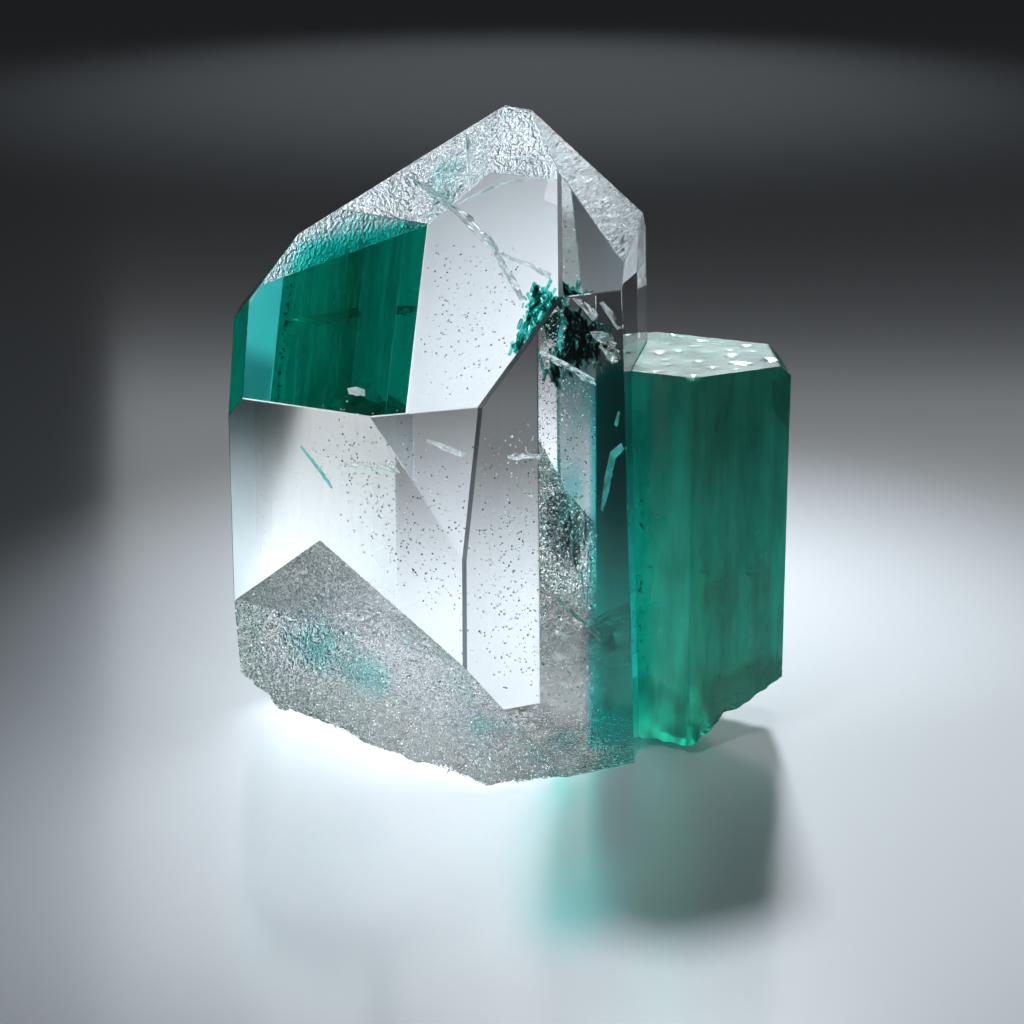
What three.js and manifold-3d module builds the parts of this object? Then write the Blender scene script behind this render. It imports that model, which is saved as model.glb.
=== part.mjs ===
// Emerald prism grown into the side of a clear quartz crystal.
// Millimetres, +Z up. The specimen stands on the broken foot of the quartz.
// While it is built, x and y start at the quartz's front prism edge and z at the surface it stands on.
// At the end both crystals are moved together, so that the box around them is centred on the Z axis.

import * as THREE from 'three';
import { ConvexGeometry } from 'three/addons/geometries/ConvexGeometry.js';
import { mergeVertices } from 'three/addons/utils/BufferGeometryUtils.js';
import Module from 'manifold-3d';

const wasm = await Module();
wasm.setup();

// A crystal face is [azimuth, tilt, distance].
// Azimuth is the compass turn of its outward normal, 0 to the front (-Y) and 90 to the right (+X).
// Tilt is the normal's rise above level, and distance is how far the face lies from the starting point.

// Quartz: six prism faces
const FRONT_LEFT = [-30, 0, 0];
const FRONT_RIGHT = [30, 0, 0];
const RIGHT = [80.5, 2, 8.4];
const BACK_RIGHT = [147, 0, 18.83];
const BACK_LEFT = [208, 0, 19.9];
const LEFT = [-90, 0, 13.1];

// Quartz: the large and small faces of its point
const POINT_FRONT = [-30, 38.2, 12.81];
const POINT_FRONT_RIGHT = [30, 38.2, 16.8];
const POINT_RIGHT = [74, 40.5, 23.4];
const POINT_BACK_RIGHT = [147, 44, 33.5];
const POINT_BACK = [211, 40.3, 30.75];
const POINT_LEFT = [-90, 38.2, 25.25];
const CHIPPED_TIP = [20, 82, 34.1];

// Quartz: two narrow faces that cut the corners of the front prism faces
const CORNER_TRIANGLE = [-23, 5.6, 1.32];
const CORNER_STRIP = [-61, 24.3, 15.17];

// Frosted hollow where another mineral once stood: the line of its edge on the two front prism faces
const ROOF_LEFT_END = [-12.86, 7.42, 9.12];
const ROOF_TOP = [-7.97, 4.6, 13.35];
const ROOF_FRONT_EDGE = [0, 0, 7.6];
const ROOF_FOOT = [4.9, 2.83, 0.9];
const STEP_LEAN = 58;

// Frosted root of the quartz, set back from the prism faces below that line
const ROOT = [
  [-30, -1, -1.95],
  [30, -4, -0.75],
  [-88, -9, 11.35],
];
const SHELL_HOLLOWS = [
  [-9.3, 2.6, 4.8, 5.0],
  [-4.4, 1.2, 2.6, 3.6],
  [-9.6, 8.4, -3.4, 5.6],
];

// Broken underside of the quartz, rising to the left from the flat it stands on
const UNDERSIDE = [
  [-72, -46, 3.8],
  [-60, -74, -0.6],
];

// Emerald: a hexagonal prism with a flat top
const EMERALD_FACES = [
  [-28, 0, -11.3],
  [30, 0, 0.83],
  [92, 0, 18.35],
  [151, 0, 21.3],
  [212, 0, 9.6],
  [272, 0, -6.45],
];
const EMERALD_TOP = [0, 90, 22.05];
const EMERALD_BOTTOM = [0, -90, -0.75];
const EMERALD_CORNERS = [
  [1, 42, 10.1],
  [92, 45, 28.15],
];
// Emerald: a shoulder inside the quartz, grown forward from the buried side of the prism
const EMERALD_SHOULDER = [
  [272, 0, -6.45],
  [0, 0, -5.9],
  [80.5, 2, 8.0],
  [180, 0, 11],
];
// Broken lower right of the emerald, as [x, z] steps seen from the front
const BREAK_STEPS = [
  [12.9, 0.6], [13.4, 1.2], [14.1, 1.4], [14.9, 2.2], [16.3, 2.5], [17.2, 3.1], [18.6, 3.7],
];
// The break is turned about this upright line through the emerald, and runs from behind it to the front
const BREAK_TURN = 14;
const BREAK_LINE = { x: 12.6, y: 6 };
const BREAK_BEHIND = 20;
const BREAK_DEPTH = 30;

// The emerald sits in its own pocket, with this gap all round
const POCKET_GAP = 0.1;
const REACH = 60;

// Geometry helpers

function rad(degrees) {
  return degrees * Math.PI / 180;
}

function plane([azimuth, tilt, distance]) {
  const a = rad(azimuth);
  const t = rad(tilt);
  const normal = new THREE.Vector3(Math.sin(a) * Math.cos(t), -Math.cos(a) * Math.cos(t), Math.sin(t));
  return { normal, distance };
}

// Corner where three planes meet
function corner(p, q, r) {
  const m = new THREE.Matrix3().set(
    p.normal.x, p.normal.y, p.normal.z,
    q.normal.x, q.normal.y, q.normal.z,
    r.normal.x, r.normal.y, r.normal.z,
  );
  if (Math.abs(m.determinant()) < 1e-6) {
    return null;
  }
  return new THREE.Vector3(p.distance, q.distance, r.distance).applyMatrix3(m.invert());
}

// Convex body bounded by planes
function bounded(planes) {
  const corners = [];
  for (let i = 0; i < planes.length; i++) {
    for (let j = i + 1; j < planes.length; j++) {
      for (let k = j + 1; k < planes.length; k++) {
        const c = corner(planes[i], planes[j], planes[k]);
        if (c && planes.every((f) => f.normal.dot(c) < f.distance + 1e-5)) {
          if (corners.every((o) => o.distanceTo(c) > 1e-4)) {
            corners.push(c);
          }
        }
      }
    }
  }
  return solid(new ConvexGeometry(corners));
}

// Closed solid from a three.js geometry
function solid(geometry) {
  const bare = new THREE.BufferGeometry();
  bare.setAttribute('position', geometry.getAttribute('position'));
  bare.setIndex(geometry.getIndex());
  const merged = mergeVertices(bare, 1e-5);
  return new wasm.Manifold(new wasm.Mesh({
    numProp: 3,
    vertProperties: new Float32Array(merged.getAttribute('position').array),
    triVerts: new Uint32Array(merged.getIndex().array),
  }));
}

// Plane through a line on a crystal face, leaning outwards from that face
function stepPlane(from, to, face, lean) {
  const start = new THREE.Vector3(...from);
  const along = new THREE.Vector3(...to).sub(start).normalize();
  const out = plane(face).normal;
  const down = new THREE.Vector3().crossVectors(along, out).normalize();
  if (down.z > 0) {
    down.negate();
  }
  const normal = down.multiplyScalar(Math.cos(rad(lean))).addScaledVector(out, Math.sin(rad(lean)));
  return { normal, distance: normal.dot(start) };
}

function flipped({ normal, distance }) {
  return { normal: normal.clone().negate(), distance: -distance };
}

// Box of planes that reaches well past the specimen
function around(reach) {
  const sides = [[0, 0], [90, 0], [180, 0], [-90, 0], [0, 90], [0, -90]];
  return sides.map(([azimuth, tilt]) => plane([azimuth, tilt, reach]));
}

// Quartz body
const STANDING = [0, -90, 0];
const quartzFaces = [
  FRONT_LEFT, FRONT_RIGHT, RIGHT, BACK_RIGHT, BACK_LEFT, LEFT,
  POINT_FRONT, POINT_FRONT_RIGHT, POINT_RIGHT, POINT_BACK_RIGHT, POINT_BACK, POINT_LEFT, CHIPPED_TIP,
  CORNER_TRIANGLE, CORNER_STRIP, STANDING, ...UNDERSIDE,
].map(plane);
const prism = bounded(quartzFaces);

// Everything below the roof-shaped line is taken off, and the root is put back behind it
const stepLeft = stepPlane(ROOF_TOP, ROOF_LEFT_END, FRONT_LEFT, STEP_LEAN);
const stepMiddle = stepPlane(ROOF_TOP, ROOF_FRONT_EDGE, FRONT_LEFT, STEP_LEAN);
const stepRight = stepPlane(ROOF_FRONT_EDGE, ROOF_FOOT, FRONT_RIGHT, STEP_LEAN);
const underRoof = bounded([flipped(stepLeft), flipped(stepMiddle), ...around(REACH)]);
const underFoot = bounded([flipped(stepRight), ...around(REACH)]);
let root = bounded([...ROOT.map(plane), ...quartzFaces]);
for (const [x, y, z, radius] of SHELL_HOLLOWS) {
  const ball = new THREE.IcosahedronGeometry(radius, 4);
  ball.translate(x, y, z);
  root = root.subtract(solid(ball));
}
const quartzWhole = prism.subtract(underRoof).subtract(underFoot).add(root);

// Emerald body
function emeraldBody(grow) {
  const grown = ([azimuth, tilt, distance]) => plane([azimuth, tilt, distance + grow]);
  const ends = [EMERALD_TOP, EMERALD_BOTTOM];
  const main = bounded([...EMERALD_FACES, ...EMERALD_CORNERS, ...ends].map(grown));
  const shoulder = bounded([...EMERALD_SHOULDER, ...ends].map(grown));
  return main.add(shoulder);
}

function brokenEnd() {
  const outline = new THREE.Shape();
  outline.moveTo(BREAK_STEPS[0][0], -REACH);
  for (const [x, z] of BREAK_STEPS) {
    outline.lineTo(x, z);
  }
  outline.lineTo(REACH, BREAK_STEPS.at(-1)[1]);
  outline.lineTo(REACH, -REACH);
  const block = new THREE.ExtrudeGeometry(outline, { depth: BREAK_DEPTH, bevelEnabled: false });
  block.rotateX(Math.PI / 2);
  block.translate(-BREAK_LINE.x, BREAK_BEHIND, 0);
  block.rotateZ(rad(BREAK_TURN));
  block.translate(BREAK_LINE.x, BREAK_LINE.y, 0);
  return solid(block);
}

const emerald = emeraldBody(0).subtract(brokenEnd());
const quartz = quartzWhole.subtract(emeraldBody(POCKET_GAP));

// Scene graph
function geometryOf(body, shift) {
  const mesh = body.getMesh();
  const geometry = new THREE.BufferGeometry();
  geometry.setAttribute('position', new THREE.BufferAttribute(new Float32Array(mesh.vertProperties), 3));
  geometry.setIndex(new THREE.BufferAttribute(new Uint32Array(mesh.triVerts), 1));
  geometry.translate(shift.x, shift.y, shift.z);
  geometry.computeVertexNormals();
  return geometry;
}

const box = new THREE.Box3();
for (const body of [quartz, emerald]) {
  const { min, max } = body.boundingBox();
  box.expandByPoint(new THREE.Vector3(...min));
  box.expandByPoint(new THREE.Vector3(...max));
}
const shift = new THREE.Vector3(-(box.min.x + box.max.x) / 2, -(box.min.y + box.max.y) / 2, -box.min.z);

const quartzLook = new THREE.MeshStandardMaterial({ color: 0xe9efee, roughness: 0.05, flatShading: true });
const emeraldLook = new THREE.MeshStandardMaterial({ color: 0x0b7a5a, roughness: 0.15, flatShading: true });

const group = new THREE.Group();
group.name = 'emerald_in_quartz';
for (const [name, body, look] of [
  ['quartz_crystal', quartz, quartzLook],
  ['emerald_crystal', emerald, emeraldLook],
]) {
  const mesh = new THREE.Mesh(geometryOf(body, shift), look);
  mesh.name = name;
  group.add(mesh);
}

export default group;
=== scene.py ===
# %% [markdown]
# # Emerald grown into clear quartz
# The specimen has two crystals: a clear quartz point, and a green emerald prism that is buried for a third of
# its width in the quartz's right side. Clear stone is shown almost only by what it bends and mirrors, so the
# lesson spends its effort on flat faces, on sharp edges, on what is sealed inside, and on the light.

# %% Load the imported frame
import math

import bmesh
import bpy
from mathutils import Matrix, Vector, noise
from mathutils.bvhtree import BVHTree
from mathutils.kdtree import KDTree


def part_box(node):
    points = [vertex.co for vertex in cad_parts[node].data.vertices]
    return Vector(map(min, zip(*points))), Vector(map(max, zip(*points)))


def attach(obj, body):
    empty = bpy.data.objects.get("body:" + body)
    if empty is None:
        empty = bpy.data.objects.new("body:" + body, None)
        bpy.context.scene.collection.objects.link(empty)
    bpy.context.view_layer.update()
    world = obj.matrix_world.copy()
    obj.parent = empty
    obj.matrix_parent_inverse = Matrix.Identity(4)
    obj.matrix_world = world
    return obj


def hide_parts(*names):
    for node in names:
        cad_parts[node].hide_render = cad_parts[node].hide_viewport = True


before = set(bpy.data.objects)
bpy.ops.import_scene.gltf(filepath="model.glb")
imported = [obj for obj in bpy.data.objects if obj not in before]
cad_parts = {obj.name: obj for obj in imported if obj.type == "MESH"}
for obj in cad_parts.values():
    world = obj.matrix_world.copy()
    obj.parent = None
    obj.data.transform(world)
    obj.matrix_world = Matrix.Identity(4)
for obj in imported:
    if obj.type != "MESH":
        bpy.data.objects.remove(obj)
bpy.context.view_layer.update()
MM = 0.001
quartz_low, quartz_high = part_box("quartz_crystal")

# %% [markdown]
# ## Where things are
# Every place below is counted in millimetres from the foot of the quartz's front edge, the upright edge that
# points at the viewer. That edge is easy to find again on the frame: it is the part of the quartz furthest to the
# front, and it stands 13.1 mm to the right of the crystal's left face. Directions of faces are given the way a
# crystal collector gives them, as a compass turn and a rise.

# %% Places are counted from the front edge
FRONT_EDGE = Vector((quartz_low.x + 13.1 * MM, quartz_low.y, 0.0))


def place(x, y, z):
    """A point in the frame, in metres, from millimetres counted from the foot of the front edge."""
    return FRONT_EDGE + Vector((x, y, z)) * MM


def facing(azimuth, tilt):
    """Unit normal of a face: azimuth 0 is to the front, 90 to the right; tilt is its rise above level."""
    a, t = math.radians(azimuth), math.radians(tilt)
    return Vector((math.sin(a) * math.cos(t), -math.cos(a) * math.cos(t), math.sin(t)))


print("front edge stands at", [round(v / MM, 2) for v in FRONT_EDGE])

# %% [markdown]
# ## Camera
# The photograph looks down on the specimen by 16 degrees with a long lens, so uprights hardly lean. A long lens is
# written here as a focal length of two and a half picture widths. The distance is what makes the quartz fill the
# same part of the picture.

# %% Camera
VIEW_DOWN = math.radians(16.0)
SENSOR = 36.0
LENS_IN_PICTURES = 2.539
CAMERA_DISTANCE = 136.84 * MM
camera_data = bpy.data.cameras.new("camera")
camera_data.sensor_width = SENSOR
camera_data.lens = SENSOR * LENS_IN_PICTURES
camera_data.clip_start, camera_data.clip_end = 0.005, 20.0
camera = bpy.data.objects.new("camera", camera_data)
bpy.context.scene.collection.objects.link(camera)
backwards = Vector((0.0, -math.cos(VIEW_DOWN), math.sin(VIEW_DOWN)))
camera.location = place(2.525, 0.0, 16.263) + backwards * CAMERA_DISTANCE
camera.rotation_euler = backwards.to_track_quat("Z", "Y").to_euler()
bpy.context.scene.camera = camera
print("camera at", [round(v, 4) for v in camera.location])

# %% [markdown]
# ## Copies of the two crystals
# The CAD objects stay as they are, and the finished crystals are copies of their meshes. CAD meshes come as loose
# triangles. Clear stone shows every stray edge, so the corners are welded and the triangles of one flat face are
# dissolved into one polygon.

# %% Copies of the crystals
def new_piece(name, mesh):
    piece = bpy.data.objects.new(name, mesh)
    bpy.context.scene.collection.objects.link(piece)
    return piece


def crystal_copy(node):
    """The node's mesh with welded corners and whole flat faces in place of triangles."""
    bm = bmesh.new()
    bm.from_mesh(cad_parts[node].data)
    bmesh.ops.remove_doubles(bm, verts=bm.verts, dist=2e-6)
    bmesh.ops.dissolve_limit(bm, angle_limit=math.radians(0.4), verts=bm.verts, edges=bm.edges)
    bm.normal_update()
    return bm


quartz_bm = crystal_copy("quartz_crystal")
emerald_bm = crystal_copy("emerald_crystal")
print("faces of quartz and emerald:", len(quartz_bm.faces), len(emerald_bm.faces))

# %% [markdown]
# ## Three finishes on one crystal
# The quartz has bright growth faces, a frosted broken root, and the walls of the pocket that the emerald fills. A
# growth face lies on the outside of the crystal's hull. A frosted one lies inside it or faces the ground, and a pocket
# wall is within a hair of the emerald. Measuring that sorts the faces without a list of their numbers.

# %% Sort the quartz faces by finish
CLEAR, FROSTED, CONTACT = 0, 1, 2


def hull_tree(bm):
    shell = bm.copy()
    made = bmesh.ops.convex_hull(shell, input=shell.verts)
    kept = {g for g in made["geom"] if isinstance(g, bmesh.types.BMFace)}
    bmesh.ops.delete(shell, geom=[f for f in shell.faces if f not in kept], context="FACES")
    tree = BVHTree.FromBMesh(shell)
    shell.free()
    return tree


emerald_tree = BVHTree.FromBMesh(emerald_bm)
outline = hull_tree(quartz_bm)
finish = quartz_bm.faces.layers.int.new("finish")
for f in quartz_bm.faces:
    centre = f.calc_center_median_weighted()
    if emerald_tree.find_nearest(centre)[3] < 0.16 * MM:
        f[finish] = CONTACT
    elif outline.find_nearest(centre)[3] > 0.04 * MM or f.normal.z < -0.3:
        f[finish] = FROSTED
counts = [sum(f[finish] == k for f in quartz_bm.faces) for k in (CLEAR, FROSTED, CONTACT)]
print("quartz faces: clear, frosted, contact:", counts)

# %% [markdown]
# ## Dulled edges
# No edge of a stone is a true line. The upright edges that point at the viewer are worn to a ribbon a quarter of a
# millimetre wide, which the quartz material paints near black as painted shade, and the others to a thin bright line.
# A bevel modifier driven by edge weights makes both in one go, and its result is then kept as a plain mesh.

# %% Dull the edges of the quartz
WORN_EDGE, FINE_EDGE = 0.24 * MM, 0.07 * MM
SHORTEST = 1.2 * MM


def azimuth_of(f):
    return math.degrees(math.atan2(f.normal.x, -f.normal.y))


def settle(piece):
    """Makes a piece's modifiers part of its mesh."""
    graph = bpy.context.evaluated_depsgraph_get()
    mesh = bpy.data.meshes.new_from_object(piece.evaluated_get(graph))
    piece.modifiers.clear()
    piece.data = mesh
    return mesh


weight = quartz_bm.edges.layers.float.new("bevel_weight_edge")
for e in quartz_bm.edges:
    if any(f[finish] != CLEAR for f in e.link_faces) or e.calc_length() < SHORTEST:
        continue
    turns = sorted(azimuth_of(f) for f in e.link_faces)
    at_front = -35 < turns[0] < -20 and 25 < turns[1] < 35
    e[weight] = 1.0 if at_front else FINE_EDGE / WORN_EDGE
quartz_mesh = bpy.data.meshes.new("quartz")
quartz_bm.to_mesh(quartz_mesh)
quartz = new_piece("quartz", quartz_mesh)
bevel = quartz.modifiers.new("dulled edges", "BEVEL")
bevel.limit_method, bevel.offset_type = "WEIGHT", "WIDTH"
bevel.width, bevel.segments = WORN_EDGE, 1
bevel.use_clamp_overlap = False
quartz_mesh = settle(quartz)
print("quartz with dulled edges:", len(quartz_mesh.polygons), "faces")

# %% [markdown]
# ## Helpers that break up a face
# A frosted or striated face needs many small facets, while a clear one must stay one flat polygon. So only chosen faces
# are split, by halving their long edges a few times, and the new corners are pushed about by noise. The push fades out
# towards the rim of the chosen faces, which keeps the seam to the clear faces closed and straight.

# %% Helpers that break up a face
NEEDLE = 0.002 * MM


def refine(bm, wanted, length, passes=8):
    """Halves the long edges of the faces for which wanted(face) is true, a few times over."""
    for _ in range(passes):
        bmesh.ops.triangulate(bm, faces=[f for f in bm.faces if len(f.verts) > 3 and wanted(f)])
        edges = {e for f in bm.faces if wanted(f) for e in f.edges if e.calc_length() > length}
        bmesh.ops.subdivide_edges(bm, edges=list(edges), cuts=1)
    bmesh.ops.dissolve_degenerate(bm, dist=NEEDLE, edges=bm.edges[:])
    bmesh.ops.triangulate(bm, faces=[f for f in bm.faces if len(f.verts) > 3 and wanted(f)])
    bm.normal_update()


def relief(p, grain):
    """Noise from -1 to 1 with features of about grain millimetres."""
    return noise.noise(p / (grain * MM))


def rim_distance(bm, wanted):
    """Every vertex well inside the wanted faces, with its distance from their rim."""
    touched = {v for f in bm.faces if wanted(f) for v in f.verts}
    inner = [v for v in touched if all(wanted(f) for f in v.link_faces)]
    rim = [v for v in touched if not all(wanted(f) for f in v.link_faces)]
    tree = KDTree(len(rim))
    for k, v in enumerate(rim):
        tree.insert(v.co, k)
    tree.balance()
    return {v: tree.find(v.co)[2] for v in inner}


print("helpers ready: refine, relief, rim_distance")

# %% [markdown]
# ## The frosted root
# Below a roof-shaped line the quartz was broken or etched. Real conchoidal quartz has broad shells, ripples on the
# shells and glittering crumbs on the ripples, so three sizes of noise are added up. The foot may only lose material, or
# the specimen would sink into the table.

# %% Break up the frosted faces
FROST_FACET, FOOT_FACET = 0.19 * MM, 0.5 * MM
EASE = 0.6 * MM
bm = bmesh.new()
bm.from_mesh(quartz_mesh)
finish = bm.faces.layers.int["finish"]
refine(bm, lambda f: f[finish] == FROSTED and f.normal.z > -0.6, FROST_FACET)
refine(bm, lambda f: f[finish] == FROSTED and f.normal.z <= -0.6, FOOT_FACET)
moves = {}
for v, rim in rim_distance(bm, lambda f: f[finish] == FROSTED).items():
    shells = 0.30 * relief(v.co, 2.6) + 0.12 * relief(v.co, 1.1)
    crumbs = 0.16 * abs(relief(v.co, 0.55)) + 0.10 * relief(v.co, 0.28)
    push = min(1.0, rim / EASE) * MM
    if v.normal.z < -0.9 and v.co.z < 0.05 * MM:
        moves[v] = Vector((0, 0, abs(shells + crumbs) * push * 0.6))
    else:
        moves[v] = v.normal * (shells - crumbs) * push
for v, move in moves.items():
    v.co += move
    v.co.z = max(0.0, v.co.z)
frost = bm.faces.layers.float.new("frost")
contact = bm.faces.layers.float.new("contact")
worn_painted_dark = bm.faces.layers.float.new("worn_painted_dark")
striated = bm.faces.layers.float.new("striated")
for f in bm.faces:
    f[striated] = float(f[finish] == CLEAR and f.normal.angle(facing(74, 40.5)) < 0.1)
    # Painted shade: this marks the worn ribbons of the front edges, which the quartz material paints near black.
    f[worn_painted_dark] = float(f[finish] == CLEAR and abs(azimuth_of(f)) < 18 and f.normal.z < 0.75)
    f[frost] = float(f[finish] == FROSTED)
    f[contact] = float(f[finish] == CONTACT)
    f.smooth = f[finish] == FROSTED
bm.to_mesh(quartz_mesh)
bm.free()
quartz_mesh.attributes.remove(quartz_mesh.attributes["finish"])
print("quartz:", len(quartz_mesh.polygons), "faces")

# %% [markdown]
# ## The buried part of the emerald
# The emerald leaves the quartz through two of its prism faces. Cutting its mesh along those two planes, without taking
# anything away, gives faces that are either wholly buried or wholly in the open. The buried ones touch quartz and not
# air, which the material has to know.

# %% Mark the buried faces of the emerald
QUARTZ_SIDES = [(facing(80.5, 2.0), 8.4), (facing(147.0, 0.0), 18.83)]
for normal, distance in QUARTZ_SIDES:
    everything = emerald_bm.verts[:] + emerald_bm.edges[:] + emerald_bm.faces[:]
    bmesh.ops.bisect_plane(emerald_bm, geom=everything, dist=1e-7, plane_no=normal,
                           plane_co=place(0, 0, 0) + normal * distance * MM)
contact = emerald_bm.faces.layers.float.new("contact")
for f in emerald_bm.faces:
    spot = f.calc_center_median_weighted() - place(0, 0, 0)
    f[contact] = float(all(spot.dot(n) < d * MM - 1e-6 for n, d in QUARTZ_SIDES))
print("emerald faces, buried and all:", int(sum(f[contact] for f in emerald_bm.faces)), len(emerald_bm.faces))

# %% [markdown]
# ## The open part of the emerald
# Emerald prisms carry fine lines along their length, shallow pits on the flat top, and here a hackly broken foot. The
# lines come from noise that is stretched upright, the pits from the peaks of a second noise, and the break from a third.

# %% Striate, pit and roughen the emerald
STRIA_FACET = 0.36 * MM
refine(emerald_bm, lambda f: f[contact] < 0.5, STRIA_FACET)
moves = {}
for v in rim_distance(emerald_bm, lambda f: f[contact] < 0.5):
    if v.normal.z > 0.9:
        moves[v] = Vector((0, 0, -max(0.0, relief(v.co, 1.0) - 0.28) * 0.4))
    elif v.normal.z < -0.25:
        moves[v] = v.normal * (0.14 * relief(v.co, 0.9) + 0.08 * relief(v.co, 0.4))
    else:
        line = Vector((v.co.x, v.co.y, v.co.z * 0.06))
        moves[v] = v.normal * (0.025 * relief(line, 0.8) + 0.012 * relief(line, 0.4))
for v, move in moves.items():
    v.co += move * MM
polish = emerald_bm.faces.layers.float.new("polish")
for f in emerald_bm.faces:
    f.smooth = f[contact] < 0.5
    f[polish] = float(f.normal.z > 0.6)
emerald_mesh = bpy.data.meshes.new("emerald")
emerald_bm.to_mesh(emerald_mesh)
emerald_mesh.set_sharp_from_angle(angle=math.radians(24))
emerald = new_piece("emerald", emerald_mesh)
print("emerald:", len(emerald_mesh.polygons), "faces")

# %% [markdown]
# ## One patchy mask for several stones
# Frost grain, green mottling, torn fractures and wisps of colour are all patchy in the same way. So a small shader group
# makes one mask from noise, with a size, an upright stretch and two limits, and each material uses it with its
# own numbers.

# %% Shader group: patchy mask
def build_patchy():
    group = bpy.data.node_groups.new("patchy", "ShaderNodeTree")
    for label, start in (("Scale", 500.0), ("Upright", 1.0), ("Low", 0.4), ("High", 0.6)):
        group.interface.new_socket(label, in_out="INPUT", socket_type="NodeSocketFloat").default_value = start
    group.interface.new_socket("Mask", in_out="OUTPUT", socket_type="NodeSocketFloat")
    new, link = group.nodes.new, group.links.new
    given, result = new("NodeGroupInput"), new("NodeGroupOutput")
    spot, shrink, squash = new("ShaderNodeTexCoord"), new("ShaderNodeCombineXYZ"), new("ShaderNodeVectorMath")
    squash.operation = "MULTIPLY"
    shrink.inputs["X"].default_value = shrink.inputs["Y"].default_value = 1.0
    link(given.outputs["Upright"], shrink.inputs["Z"])
    link(spot.outputs["Object"], squash.inputs[0])
    link(shrink.outputs[0], squash.inputs[1])
    cloud, limits = new("ShaderNodeTexNoise"), new("ShaderNodeMapRange")
    cloud.inputs["Detail"].default_value = 2.0
    cloud.inputs["Roughness"].default_value = 0.6
    link(squash.outputs[0], cloud.inputs["Vector"])
    link(given.outputs["Scale"], cloud.inputs["Scale"])
    link(cloud.outputs["Fac"], limits.inputs["Value"])
    link(given.outputs["Low"], limits.inputs["From Min"])
    link(given.outputs["High"], limits.inputs["From Max"])
    link(limits.outputs["Result"], result.inputs["Mask"])
    return group


patchy = build_patchy()
print("shader group:", patchy.name, [s.name for s in patchy.interface.items_tree])

# %% [markdown]
# ## Short hands for materials
# Every material below starts from the standard surface shader. These helpers set its plain values, put in the patchy
# mask, mix two colours by a mask and do arithmetic on masks, so that a material reads as a short recipe.

# %% Material helpers
class Recipe:
    """A material with its standard surface, and short ways to add to it."""

    def __init__(self, name, **values):
        self.material = bpy.data.materials.new(name)
        self.material.use_nodes = True
        self.tree = self.material.node_tree
        self.surface = self.tree.nodes["Principled BSDF"]
        for label, value in values.items():
            self.surface.inputs[label.replace("_", " ")].default_value = value

    def feed(self, source, label):
        self.tree.links.new(source, self.surface.inputs[label])

    def attribute(self, name):
        made = self.tree.nodes.new("ShaderNodeAttribute")
        made.attribute_name = name
        return made.outputs["Fac"]

    def patches(self, scale, low, high, upright=1.0):
        made = self.tree.nodes.new("ShaderNodeGroup")
        made.node_tree = patchy
        for label, value in (("Scale", scale), ("Low", low), ("High", high), ("Upright", upright)):
            made.inputs[label].default_value = value
        return made.outputs["Mask"]

    def sum(self, kind, a, b):
        made = self.tree.nodes.new("ShaderNodeMath")
        made.operation = kind
        for socket, value in zip(made.inputs, (a, b)):
            if isinstance(value, float):
                socket.default_value = value
            else:
                self.tree.links.new(value, socket)
        return made.outputs[0]

    def blend(self, mask, first, second):
        made = self.tree.nodes.new("ShaderNodeMix")
        made.data_type = "RGBA"
        self.tree.links.new(mask, made.inputs[0])
        for socket, value in zip(made.inputs[6:8], (first, second)):
            if isinstance(value, tuple):
                socket.default_value = (*value, 1.0)
            else:
                self.tree.links.new(value, socket)
        return made.outputs[2]

    def bump(self, height, strength, distance):
        made = self.tree.nodes.new("ShaderNodeBump")
        made.inputs["Strength"].default_value = strength
        made.inputs["Distance"].default_value = distance
        self.tree.links.new(height, made.inputs["Height"])
        self.feed(made.outputs["Normal"], "Normal")


print("recipe ready")

# %% [markdown]
# ## Quartz
# Rock crystal has no colour to speak of, and its looks come from bending light by an index of 1.545; only the
# worn ribbons of the front edges are painted near black, as painted shade. The frosted faces scatter that light.
# The pocket walls are made invisible: quartz and emerald are grown together there, with no air between, so light
# must pass straight on.

# %% Quartz material
quartz_look = Recipe("quartz", Transmission_Weight=1.0, IOR=1.545, Specular_IOR_Level=0.15)
frosted = quartz_look.attribute("frost")
open_faces = quartz_look.sum("SUBTRACT", 1.0, quartz_look.attribute("contact"))
quartz_look.feed(open_faces, "Alpha")
# Painted shade: the worn ribbons of the front edges are coloured near black for the dark lines they show, and are also
# made rougher as real wear.
worn_edge_painted_dark = quartz_look.attribute("worn_painted_dark")
quartz_look.feed(quartz_look.blend(worn_edge_painted_dark, (0.985, 0.992, 0.992), (0.05, 0.055, 0.06)), "Base Color")
rough = quartz_look.sum("ADD", quartz_look.sum("MULTIPLY", frosted, 0.04), quartz_look.sum("MULTIPLY", worn_edge_painted_dark, 0.35))
quartz_look.feed(rough, "Roughness")
grain = quartz_look.patches(3600.0, 0.3, 0.7)
layers = quartz_look.sum("MULTIPLY", quartz_look.attribute("striated"), quartz_look.patches(260.0, 0.3, 0.7, upright=9.0))
quartz_look.bump(quartz_look.sum("ADD", quartz_look.sum("MULTIPLY", frosted, grain), layers), 1.0, 0.00022)
quartz_mesh.materials.clear()
quartz_mesh.materials.append(quartz_look.material)
print("quartz material:", len(quartz_look.tree.nodes), "nodes")

# %% [markdown]
# ## Emerald
# The green sits in the body of the stone and not on its skin, so it is an absorbing volume: red goes first, then blue.
# Wisps inside an emerald, which collectors call its garden, also show as mottling and upright streaks. Here the
# surface colour carries them.

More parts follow.
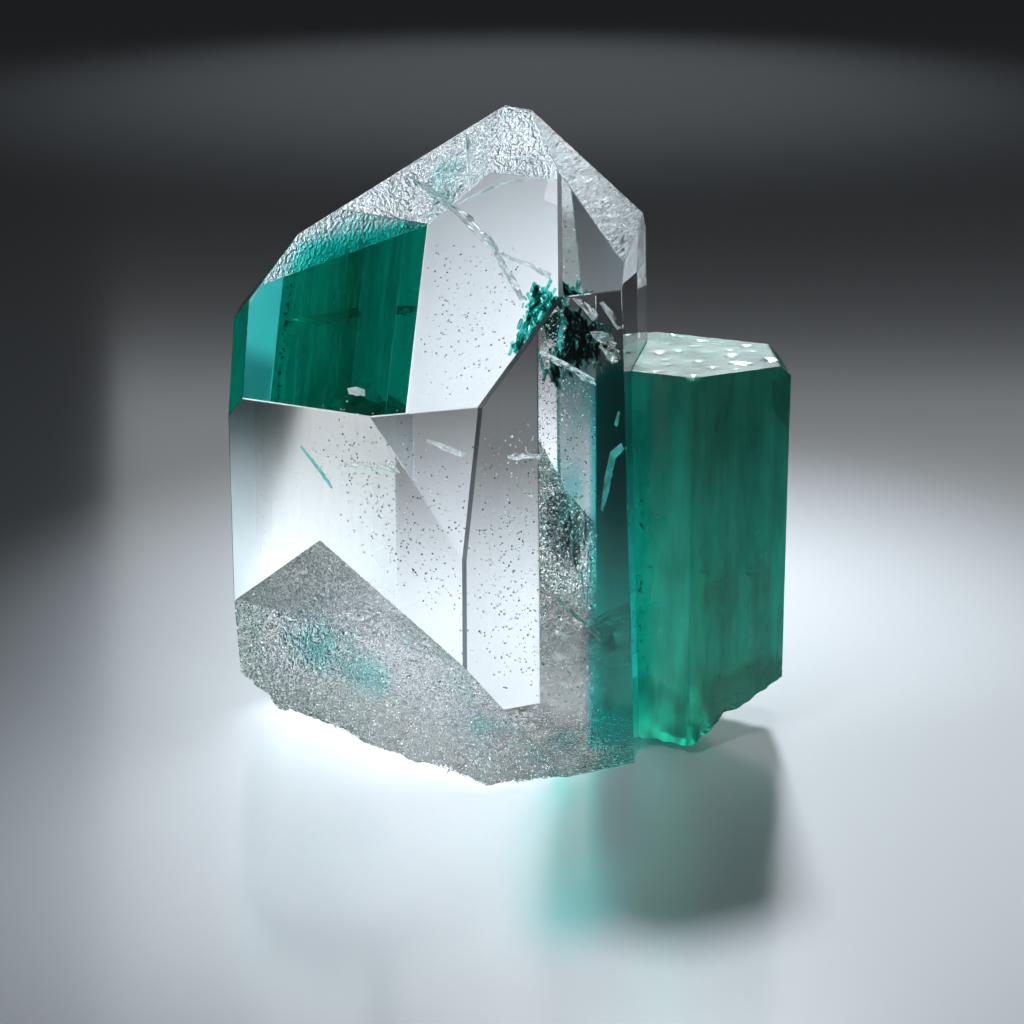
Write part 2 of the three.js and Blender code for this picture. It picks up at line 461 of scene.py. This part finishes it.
# %% Emerald material
emerald_look = Recipe("emerald", Transmission_Weight=0.86, IOR=1.58, Specular_IOR_Level=0.02)
open_faces = emerald_look.sum("SUBTRACT", 1.0, emerald_look.attribute("contact"))
emerald_look.feed(open_faces, "Alpha")
streaks = emerald_look.patches(1100.0, 0.35, 0.65, upright=0.14)
blotches = emerald_look.patches(300.0, 0.30, 0.60, upright=0.45)
streaked = emerald_look.blend(streaks, (0.004, 0.46, 0.36), (0.02, 0.92, 0.74))
mottled = emerald_look.blend(blotches, (0.002, 0.40, 0.31), streaked)
emerald_look.feed(mottled, "Base Color")
emerald_look.feed(emerald_look.sum("ADD", emerald_look.sum("MULTIPLY", blotches, 0.15), 0.2), "Roughness")
emerald_look.bump(streaks, 0.25, 0.00006)
emerald_look.feed(emerald_look.attribute("polish"), "Coat Weight")
absorb = emerald_look.tree.nodes.new("ShaderNodeVolumeAbsorption")
absorb.inputs["Color"].default_value = (0.0, 0.89, 0.86, 1.0)
absorb.inputs["Density"].default_value = 800.0
output = emerald_look.tree.nodes["Material Output"]
emerald_look.tree.links.new(absorb.outputs["Volume"], output.inputs["Volume"])
emerald_mesh.materials.clear()
emerald_mesh.materials.append(emerald_look.material)
print("emerald material:", len(emerald_look.tree.nodes), "nodes")

# %% [markdown]
# ## Fractures in the quartz
# A healed or open crack inside a crystal is a torn, wavy sheet that mirrors light. Each one here is laid between two
# lines, one near the face it is seen through and one deeper in. The sheet is waved by noise, its deep rim is made
# ragged, and it is given a hair of thickness so that it is a closed body.

# %% Fracture sheets
ALONG, ACROSS = 26, 7
SHEET_THICKNESS = 0.012 * MM
FRACTURES = {
    "upper_veil": (
        [(-3.4, 12.4, 32.2), (-2.1, 11.0, 31.4), (-0.7, 9.5, 30.6), (0.7, 7.6, 29.5), (1.9, 6.0, 28.5)],
        [(-2.5, 13.4, 31.5), (-0.9, 11.8, 30.8), (0.5, 10.3, 30.0), (1.6, 8.8, 29.1), (2.6, 7.2, 27.9)]),
    "curved_crack": (
        [(-0.6, 9.7, 30.9), (1.3, 9.5, 32.0), (3.5, 8.9, 32.6), (5.1, 8.2, 32.9)],
        [(-0.3, 10.5, 30.7), (1.6, 10.1, 31.6), (3.7, 9.5, 32.2), (5.2, 8.8, 32.4)]),
    "apex_upright": (
        [(0.1, 13.2, 34.3), (0.1, 11.9, 33.0), (0.3, 10.4, 31.5)],
        [(0.6, 14.4, 33.7), (0.7, 13.5, 32.3), (0.8, 12.1, 30.9)]),
    "apex_level": (
        [(2.4, 12.2, 32.8), (3.6, 11.7, 32.9), (4.7, 11.0, 32.8)],
        [(2.6, 13.2, 32.2), (3.8, 12.6, 32.3), (4.9, 11.9, 32.2)]),
    "front_crack": (
        [(1.1, 7.8, 29.7), (1.8, 6.2, 28.4), (2.5, 4.8, 27.4), (3.0, 4.0, 26.7)],
        [(1.6, 8.6, 29.4), (2.3, 7.0, 28.1), (3.1, 5.7, 27.2), (3.5, 4.9, 26.5)]),
    "cross_crack": (
        [(1.9, 6.7, 28.8), (3.5, 5.4, 28.5), (4.7, 4.4, 28.1)],
        [(2.3, 7.4, 28.2), (3.8, 6.2, 27.8), (4.8, 5.1, 27.3)]),
    "side_crack_1": (
        [(5.6, 3.6, 27.0), (6.2, 3.9, 26.4), (6.7, 4.2, 25.7)],
        [(6.1, 5.1, 26.7), (6.6, 5.4, 26.2), (7.0, 5.7, 25.6)]),
    "side_crack_2": (
        [(7.1, 4.4, 26.6), (7.6, 4.7, 25.8), (8.1, 5.0, 25.0)],
        [(7.3, 5.5, 26.5), (7.8, 5.8, 25.8), (8.3, 6.1, 24.9)]),
    "side_crack_3": (
        [(3.9, 2.9, 24.4), (5.2, 3.7, 23.6), (6.9, 4.6, 22.4)],
        [(3.8, 3.9, 23.9), (5.1, 4.7, 23.0), (6.7, 5.6, 21.8)]),
    "side_patch": (
        [(6.6, 4.1, 25.1), (7.2, 4.5, 24.1), (7.8, 4.8, 23.2)],
        [(7.7, 5.3, 25.0), (8.1, 5.6, 24.0), (8.3, 5.7, 23.1)]),
    "side_streak": (
        [(2.2, 1.8, 18.9), (3.1, 2.3, 18.9), (4.0, 2.8, 18.7)],
        [(2.0, 2.7, 18.5), (2.9, 3.2, 18.4), (3.8, 3.7, 18.2)]),
    "corner_streak": (
        [(-2.0, 1.9, 19.8), (-0.7, 1.3, 19.5), (0.2, 1.0, 19.2)],
        [(-1.8, 2.6, 19.3), (-0.6, 2.1, 19.0), (0.2, 1.7, 18.8)]),
    "low_crack": (
        [(4.8, 3.3, 10.4), (6.1, 4.0, 8.9), (7.3, 4.7, 7.6)],
        [(4.8, 4.4, 10.3), (6.1, 5.1, 8.9), (7.3, 5.8, 7.6)]),
    "left_streak": (
        [(-6.4, 4.2, 17.9), (-4.7, 3.3, 18.2), (-3.4, 2.5, 18.0)],
        [(-6.2, 4.8, 17.5), (-4.5, 3.9, 17.7), (-3.2, 3.1, 17.5)]),
}
FLAKES = {
    "silver_hook": (
        [(8.4, 5.2, 18.7), (7.8, 4.8, 18.3), (7.5, 4.6, 16.9), (7.3, 4.5, 15.1)],
        [(8.5, 5.7, 18.2), (8.0, 5.4, 17.8), (7.8, 5.2, 16.5), (7.4, 5.0, 14.9)]),
    "silver_chip": (
        [(8.2, 5.1, 20.5), (8.0, 4.9, 19.8)],
        [(8.3, 5.4, 20.3), (8.1, 5.3, 19.6)]),
    "sparkle": (
        [(-6.3, 5.0, 21.7), (-5.8, 4.9, 21.8), (-5.3, 4.6, 21.7)],
        [(-6.1, 5.2, 21.2), (-5.6, 4.9, 21.2), (-5.2, 4.7, 21.2)]),
}


def along_line(points, share):
    """The point a given share of the way along a line of points."""
    at = share * (len(points) - 1)
    k = min(int(at), len(points) - 2)
    return place(*points[k]).lerp(place(*points[k + 1]), at - k)


def sheets(name, lines, wave, ragged):
    """One mesh of thin wavy closed sheets, each between a near line and a deep line."""
    bm = bmesh.new()
    for near, deep in lines.values():
        grid = []
        for i in range(ALONG):
            share = i / (ALONG - 1)
            start, end = along_line(near, share), along_line(deep, share)
            depth = 1.0 - ragged * abs(relief(start, 0.35)) - ragged * 0.5 * (2 * share - 1) ** 4
            row = []
            for j in range(ACROSS):
                spot = start.lerp(end, depth * j / (ACROSS - 1))
                shake = noise.noise_vector(spot / (0.5 * MM)) * wave * MM * min(1.0, j)
                row.append(bm.verts.new(spot + shake))
            grid.append(row)
        for i in range(ALONG - 1):
            for j in range(ACROSS - 1):
                bm.faces.new((grid[i][j], grid[i + 1][j], grid[i + 1][j + 1], grid[i][j + 1]))
    bm.normal_update()
    bmesh.ops.solidify(bm, geom=bm.faces[:], thickness=SHEET_THICKNESS)
    bmesh.ops.recalc_face_normals(bm, faces=bm.faces)
    mesh = bpy.data.meshes.new(name)
    bm.to_mesh(mesh)
    bm.free()
    return new_piece(name, mesh)


veil_look = Recipe("fracture_mirror", Base_Color=(0.86, 0.92, 0.92, 1), Metallic=1.0, Roughness=0.22)
torn = veil_look.patches(1500.0, 0.36, 0.58)
veil_look.feed(veil_look.sum("MULTIPLY", torn, 0.92), "Alpha")
flake_look = Recipe("silver_flake", Metallic=1.0, Roughness=0.3)
tarnish = flake_look.patches(2500.0, 0.35, 0.7)
flake_look.feed(flake_look.blend(tarnish, (0.62, 0.66, 0.66), (0.93, 0.95, 0.95)), "Base Color")
noise.seed_set(1)
fractures = sheets("fractures_in_quartz", FRACTURES, 0.10, 0.5)
flakes = sheets("silver_flakes", FLAKES, 0.05, 0.2)
fractures.data.materials.append(veil_look.material)
flakes.data.materials.append(flake_look.material)
print("sheets:", len(fractures.data.polygons), len(flakes.data.polygons), "faces")

# %% [markdown]
# ## A growing tree for small things
# Specks, needles and crystals that grew by the hundred all follow one rule: scatter points over a bed, shift them in
# depth, and set a small shape on each with its own size and lean. Geometry Nodes writes that rule down once. The tree
# takes its numbers as named inputs, so each use below only says what is different.

# %% Geometry Nodes: scatter small shapes over a bed
INPUTS = [("Per square metre", "Float"), ("Depth", "Float"), ("Smallest", "Float"), ("Largest", "Float"),
          ("Stretch", "Float"), ("Lean", "Float"), ("Seed", "Int"), ("Finish", "Material")]


def growing_tree(name, shape_type, shape_values):
    tree = bpy.data.node_groups.new(name, "GeometryNodeTree")
    tree.interface.new_socket("Bed", in_out="INPUT", socket_type="NodeSocketGeometry")
    for label, kind in INPUTS:
        tree.interface.new_socket(label, in_out="INPUT", socket_type="NodeSocket" + kind)
    tree.interface.new_socket("Growth", in_out="OUTPUT", socket_type="NodeSocketGeometry")
    new, link = tree.nodes.new, tree.links.new
    given, result = new("NodeGroupInput"), new("NodeGroupOutput")
    points = new("GeometryNodeDistributePointsOnFaces")
    link(given.outputs["Bed"], points.inputs["Mesh"])
    link(given.outputs["Per square metre"], points.inputs["Density"])
    link(given.outputs["Seed"], points.inputs["Seed"])

    def negative(socket):
        made = new("ShaderNodeMath")
        made.operation = "MULTIPLY"
        made.inputs[1].default_value = -1.0
        link(socket, made.inputs[0])
        return made.outputs[0]

    def joined(x, y, z):
        made = new("ShaderNodeCombineXYZ")
        for socket, value in zip(made.inputs, (x, y, z)):
            if isinstance(value, float):
                socket.default_value = value
            else:
                link(value, socket)
        return made.outputs[0]

    def random(kind, low, high, seed):
        made = new("FunctionNodeRandomValue")
        made.data_type = kind
        first = 0 if kind == "FLOAT_VECTOR" else 2
        link(low, made.inputs[first])
        link(high, made.inputs[first + 1])
        made.inputs["Seed"].default_value = seed
        return made.outputs[0 if kind == "FLOAT_VECTOR" else 1]

    depth, lean = given.outputs["Depth"], given.outputs["Lean"]
    back, away = negative(depth), negative(lean)
    shift = new("GeometryNodeSetPosition")
    link(points.outputs["Points"], shift.inputs["Geometry"])
    link(random("FLOAT_VECTOR", joined(back, back, back), joined(depth, depth, depth), 1), shift.inputs["Offset"])
    turn = random("FLOAT_VECTOR", joined(away, away, -math.pi), joined(lean, lean, math.pi), 2)
    size = random("FLOAT", given.outputs["Smallest"], given.outputs["Largest"], 3)
    tall = new("ShaderNodeMath")
    tall.operation = "MULTIPLY"
    link(size, tall.inputs[0])
    link(given.outputs["Stretch"], tall.inputs[1])
    shape = new(shape_type)
    for label, value in shape_values.items():
        shape.inputs[label].default_value = value
    put = new("GeometryNodeInstanceOnPoints")
    link(shift.outputs["Geometry"], put.inputs["Points"])
    link(shape.outputs["Mesh"], put.inputs["Instance"])
    link(turn, put.inputs["Rotation"])
    link(joined(size, size, tall.outputs[0]), put.inputs["Scale"])
    real, painted = new("GeometryNodeRealizeInstances"), new("GeometryNodeSetMaterial")
    link(put.outputs["Instances"], real.inputs["Geometry"])
    link(real.outputs["Geometry"], painted.inputs["Geometry"])
    link(given.outputs["Finish"], painted.inputs["Material"])
    link(painted.outputs["Geometry"], result.inputs["Growth"])
    return tree


def bed_of(name, corners):
    """A mesh of four-cornered patches, from places in millimetres."""
    spots = [place(*c) for patch in corners for c in patch]
    faces = [tuple(range(k, k + 4)) for k in range(0, len(spots), 4)]
    mesh = bpy.data.meshes.new(name)
    mesh.from_pydata(spots, [], faces)
    return mesh


def grow(name, tree, bed, values):
    piece = new_piece(name, bed)
    modifier = piece.modifiers.new("growth", "NODES")
    modifier.node_group = tree
    for socket in tree.interface.items_tree:
        if socket.in_out == "INPUT" and socket.name in values:
            modifier[socket.identifier] = values[socket.name]
    mesh = settle(piece)
    print(name + ":", len(mesh.polygons), "faces")
    return piece


speck_tree = growing_tree("scattered specks", "GeometryNodeMeshIcoSphere", {"Radius": 1.0, "Subdivisions": 1})
prism_tree = growing_tree("scattered prisms", "GeometryNodeMeshCylinder",
                          {"Vertices": 6, "Radius": 1.0, "Depth": 2.0})

# %% [markdown]
# ## Specks
# The quartz is peppered with tiny bubbles and crumbs, thick in the lower front and thin in the point. In the emerald a
# nest of black crumbs sits at the foot, and a line of them follows the seam with the quartz. Each bed is a patch inside
# the stone, and the specks are spread through the depth around it.

# %% Specks in quartz and emerald
PEPPER_BEDS = [
    [(0.8, 1.6, 20.2), (6.4, 4.9, 19.6), (6.6, 5.0, 3.0), (0.7, 1.6, 7.0)],
    [(0.3, 3.4, 19.5), (5.7, 6.4, 18.7), (5.9, 6.6, 3.6), (0.1, 3.3, 8.4)],
    [(-7.0, 5.0, 18.8), (-0.4, 1.2, 18.4), (-0.3, 1.2, 10.0), (-3.7, 3.1, 12.0)],
    [(-8.4, 7.6, 19.6), (-2.2, 3.9, 19.9), (-0.9, 3.2, 10.7), (-4.7, 5.4, 12.2)],
    [(-1.6, 9.6, 28.2), (3.6, 6.9, 28.4), (2.0, 2.7, 23.0), (-1.7, 3.2, 21.3)],
]
CRUMB_BEDS = [
    [(10.9, 7.6, 1.0), (12.2, 6.9, 1.0), (12.9, 7.3, 1.6), (11.2, 8.0, 1.6)],
    [(9.75, 8.1, 14.6), (9.95, 8.0, 14.6), (10.1, 8.0, 5.4), (9.9, 8.1, 5.4)],
]
speck_look = Recipe("speck", Metallic=1.0, Roughness=0.35)
speck_look.feed(speck_look.blend(speck_look.patches(900.0, 0.4, 0.6), (0.16, 0.18, 0.18), (0.9, 0.93, 0.93)), "Base Color")
crumb_look = Recipe("black_crumb", Roughness=0.5)
crumb_look.feed(crumb_look.blend(crumb_look.patches(4000.0, 0.4, 0.6), (0.004, 0.01, 0.008), (0.02, 0.05, 0.04)), "Base Color")
pepper = grow("pepper_specks", speck_tree, bed_of("pepper_bed", PEPPER_BEDS), {
    "Per square metre": 6.0e6, "Depth": 0.7 * MM, "Smallest": 0.015 * MM, "Largest": 0.085 * MM, "Stretch": 0.7,
    "Lean": math.pi, "Seed": 11, "Finish": speck_look.material})
crumbs = grow("black_crumbs", speck_tree, bed_of("crumb_bed", CRUMB_BEDS), {
    "Per square metre": 2.4e7, "Depth": 0.12 * MM, "Smallest": 0.03 * MM, "Largest": 0.13 * MM, "Stretch": 0.8,
    "Lean": math.pi, "Seed": 5, "Finish": crumb_look.material})

# %% [markdown]
# ## Glitter on the frosted root
# Broken quartz is covered with loose and half loose chips that flash white. They lie on the frosted faces, so those
# faces, taken out of the finished quartz mesh, are the bed. Flat chips catch more light than round ones.

# %% White chips on the frosted root
def frosted_bed():
    bm = bmesh.new()
    bm.from_mesh(quartz_mesh)
    frost = bm.faces.layers.float["frost"]
    plain = [f for f in bm.faces if f[frost] < 0.5 or f.normal.z < -0.6]
    bmesh.ops.delete(bm, geom=plain, context="FACES")
    mesh = bpy.data.meshes.new("frosted bed")
    bm.to_mesh(mesh)
    bm.free()
    return mesh


chip_look = Recipe("white_chip", Roughness=0.25)
chip_look.feed(chip_look.blend(chip_look.patches(1200.0, 0.4, 0.6), (0.80, 0.85, 0.87), (0.97, 0.98, 0.98)), "Base Color")
chips = grow("white_chips", speck_tree, frosted_bed(), {
    "Per square metre": 1.5e7, "Depth": 0.02 * MM, "Smallest": 0.012 * MM, "Largest": 0.06 * MM, "Stretch": 0.3,
    "Lean": math.pi, "Seed": 21, "Finish": chip_look.material})

# %% [markdown]
# ## Small emeralds and threads
# Just above the big emerald a nest of little ones is sealed in the quartz, and it is seen twice, through two faces.
# Lower down, fine green threads hang inside the right front face. Both are six-sided prisms from the same tree: the
# nest short and leaning all ways, the threads long and upright. Sealed in quartz they hardly bend light.

# %% A nest of small emeralds, and green threads
NEST_BEDS = [
    [(4.2, 8.0, 25.6), (5.8, 7.8, 25.8), (5.8, 8.8, 23.2), (4.2, 9.0, 23.0)],
    [(3.6, 7.2, 23.4), (4.9, 7.8, 23.6), (4.6, 8.2, 22.0), (3.6, 7.6, 22.0)],
    [(5.0, 6.4, 25.2), (7.2, 7.4, 24.8), (7.2, 7.6, 22.8), (5.2, 6.8, 23.0)],
]
THREAD_BEDS = [
    [(5.2, 4.9, 14.2), (6.3, 5.4, 14.2), (6.7, 5.6, 9.6), (5.9, 5.2, 9.6)],
]
prism_look = Recipe("small_emerald", Transmission_Weight=1.0, IOR=1.03, Roughness=0.05)
prism_look.feed(prism_look.blend(prism_look.patches(1400.0, 0.35, 0.65), (0.06, 0.50, 0.44), (0.30, 0.82, 0.76)), "Base Color")
SLIVER = {
    "sliver": (
        [(-8.84, 6.1, 18.3), (-8.0, 5.7, 17.3), (-7.1, 5.2, 16.2)],
        [(-8.7, 6.3, 18.4), (-7.8, 5.9, 17.4), (-6.9, 5.4, 16.3)]),
}
sliver = sheets("green_sliver", SLIVER, 0.04, 0.5)
sliver.data.materials.append(prism_look.material)
nest = grow("nest_of_small_emeralds", prism_tree, bed_of("nest_bed", NEST_BEDS), {
    "Per square metre": 2.2e7, "Depth": 0.45 * MM, "Smallest": 0.04 * MM, "Largest": 0.14 * MM, "Stretch": 3.2,
    "Lean": 0.7, "Seed": 3, "Finish": prism_look.material})
threads = grow("green_threads", prism_tree, bed_of("thread_bed", THREAD_BEDS), {
    "Per square metre": 8.0e6, "Depth": 0.2 * MM, "Smallest": 0.02 * MM, "Largest": 0.045 * MM, "Stretch": 18.0,
    "Lean": 0.25, "Seed": 8, "Finish": prism_look.material})

# %% [markdown]
# ## Wisps of green
# Near the emerald the quartz holds clouds of green too fine to see as grains. Each wisp is a lens that tints the light
# and does not bend it, for its index is 1. The tint fades to nothing at the rim of the lens and is broken up by the
# patchy mask, so that no outline shows.

# %% Green wisps
WISPS = [
    ((5.6, 6.4, 22.0), (1.5, 0.7, 4.2), 30, 0.0),
    ((5.2, 5.6, 15.5), (1.4, 0.6, 4.0), 30, 0.0),
    ((6.9, 6.2, 5.6), (1.2, 0.6, 4.6), 30, 0.0),
    ((-8.3, 7.6, 6.6), (2.9, 0.6, 2.4), -30, 20.0),
    ((-5.4, 6.2, 5.0), (2.0, 0.6, 1.7), -30, -25.0),
    ((0.9, 3.6, 3.2), (0.8, 0.4, 1.1), 30, 15.0),
    ((5.0, 5.4, 1.7), (1.8, 0.5, 0.9), 30, -10.0),
]
wisp_look = Recipe("green_wisp", Transmission_Weight=1.0, IOR=1.0, Roughness=0.0)
thick = wisp_look.sum("MULTIPLY", wisp_look.attribute("thickness"), wisp_look.patches(700.0, 0.30, 0.58, upright=0.5))
wisp_look.feed(wisp_look.blend(thick, (1.0, 1.0, 1.0), (0.26, 0.77, 0.75)), "Base Color")


def lenses(name, lens_list):
    bm = bmesh.new()
    thickness = bm.verts.layers.float.new("thickness")
    for centre, (wide, deep, tall), turn, roll in lens_list:
        made = bmesh.ops.create_icosphere(bm, subdivisions=4, radius=1.0)["verts"]
        spin = Matrix.Rotation(math.radians(turn), 3, "Z") @ Matrix.Rotation(math.radians(roll), 3, "Y")
        for v in made:
            v[thickness] = v.co.y ** 2
            v.co = place(*centre) + spin @ Vector((v.co.x * wide, v.co.y * deep, v.co.z * tall)) * MM
    mesh = bpy.data.meshes.new(name)
    bm.to_mesh(mesh)
    bm.free()
    return new_piece(name, mesh)


wisps = lenses("green_wisps", WISPS)
wisps.data.materials.append(wisp_look.material)
print("wisps:", len(wisps.data.polygons), "faces")

# %% [markdown]
# ## A crack across the emerald
# A pale crack crosses the emerald at half its height, and it is seen just under both front faces. It is one more
# torn sheet, laid level between a line under the faces and a line deeper in the stone.

# %% Crack in the emerald
EMERALD_CRACKS = {
    "level_crack": (
        [(9.7, 8.1, 10.9), (10.8, 7.4, 10.95), (12.4, 6.7, 11.0), (15.2, 8.3, 10.5), (17.5, 9.6, 10.3)],
        [(9.8, 9.1, 10.4), (11.0, 8.4, 10.5), (12.5, 7.8, 10.4), (14.8, 9.4, 10.0), (17.0, 10.6, 9.8)]),
}
emerald_crack = sheets("crack_in_emerald", EMERALD_CRACKS, 0.12, 0.6)
emerald_crack.data.materials.append(veil_look.material)
print("emerald crack:", len(emerald_crack.data.polygons), "faces")

# %% [markdown]
# ## Floor
# The stone stands on a pale sheet with a satin surface. It has to mirror softly, because the blurred mirror image below
# the stone is a large part of the picture, so it is neither matt nor polished.

# %% Floor
FLOOR_HALF = 4.0
floor_mesh = bpy.data.meshes.new("floor")
corners = [(-FLOOR_HALF, -FLOOR_HALF), (FLOOR_HALF, -FLOOR_HALF), (FLOOR_HALF, FLOOR_HALF), (-FLOOR_HALF, FLOOR_HALF)]
floor_mesh.from_pydata([(x, y, -0.00002) for x, y in corners], [], [(0, 1, 2, 3)])
floor = new_piece("floor", floor_mesh)
floor_look = Recipe("floor", Base_Color=(0.50, 0.53, 0.56, 1), Roughness=0.16, IOR=2.1)
floor_mesh.materials.append(floor_look.material)
print("floor:", 2 * FLOOR_HALF, "m square")

# %% [markdown]
# ## Light
# Clear stone is lit from behind. A narrow soft light from above, behind and to the right makes a bright pool
# on the floor, and the faces show that pool bent into their own shapes. A panel low behind the stone is seen only in
# mirrors and through glass: it whitens the emerald's flat top. A weak light in front keeps the near faces alive.

# %% Light
COOL_WHITE = (0.92, 0.965, 1.0)


def lamp(name, kind, at, towards, power):
    data = bpy.data.lights.new(name, kind)
    data.energy = power
    data.color = COOL_WHITE
    made = bpy.data.objects.new(name, data)
    bpy.context.scene.collection.objects.link(made)
    made.location = at
    made.rotation_euler = (at - towards).to_track_quat("Z", "Y").to_euler()
    return made


def panel(name, at, towards, size, power):
    made = lamp(name, "AREA", at, towards, power)
    made.data.shape = "RECTANGLE"
    made.data.size, made.data.size_y = size
    return made


def spot(name, at, towards, power, angle, blend):
    made = lamp(name, "SPOT", at, towards, power)
    made.data.spot_size, made.data.spot_blend = math.radians(angle), blend
    made.data.shadow_soft_size = 0.02
    return made


pool = spot("pool light", place(30, 215, 210), place(15, 8, 0), 5.0, 20.0, 0.8)
behind = spot("light behind", place(6, 60, 260), place(6, 43, 0), 4.0, 10.4, 0.4)
sky = panel("back panel", place(25, 330, 120), place(8, 10, 16), (0.20, 0.13), 0.055)
far = spot("far pool", place(10, 470, 320), place(6, 330, 0), 1.3, 36.0, 1.0)
top = panel("top panel", place(-30, -20, 300), place(0, 8, 10), (0.22, 0.22), 0.45)
side = panel("right panel", place(258, 244, 95), place(10, 12, 10), (0.095, 0.14), 0.10)
glow = panel("front right panel", place(250, -110, 170), place(12, 10, 10), (0.20, 0.20), 0.12)
fill = panel("front fill", place(-150, -220, 200), place(0, 8, 15), (0.11, 0.11), 0.065)
root_light = spot("root light", place(-110, -170, 160), place(-4, 3, 3.5), 4.0, 5.4, 0.9)
for seen_only in (sky, top, side):
    seen_only.visible_diffuse = False
for clear_piece in (quartz, fractures, flakes, pepper, sliver, nest, threads, wisps):
    clear_piece.visible_shadow = False
world = bpy.data.worlds.new("studio")
bpy.context.scene.world = world
world.use_nodes = True
backdrop = world.node_tree.nodes["Background"]
backdrop.inputs["Color"].default_value = (0.012, 0.013, 0.014, 1)
print("lights:", [light.name for light in (pool, behind, sky, far, top, side, glow, fill, root_light)])

# %% [markdown]
# ## Paths of light
# A ray may cross a dozen faces before it leaves a crystal. With the usual limit it would end inside and turn black, so
# the limits are raised. The plain colour transform is kept, since the photograph has plain contrast.

# %% Paths of light
cycles = bpy.context.scene.cycles
cycles.max_bounces = cycles.transmission_bounces = 10
cycles.diffuse_bounces = 2
cycles.transparent_max_bounces = 14
cycles.glossy_bounces = 8
cycles.sample_clamp_indirect = 8.0
bpy.context.scene.view_settings.view_transform = "Standard"
print("bounces:", cycles.max_bounces)

# %% [markdown]
# ## Hand the pieces to the frame
# The two crystals stand in for their CAD nodes. What is sealed in them has no node of its own, and rides along with the
# whole specimen.

# %% Hand over
for piece, node, slot in ((quartz, "quartz_crystal", "quartz"), (emerald, "emerald_crystal", "emerald")):
    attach(piece, "root")
    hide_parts(node)
for piece in (fractures, flakes, pepper, crumbs, chips, sliver, nest, threads, wisps, emerald_crack):
    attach(piece, "root")
print("pieces handed over")
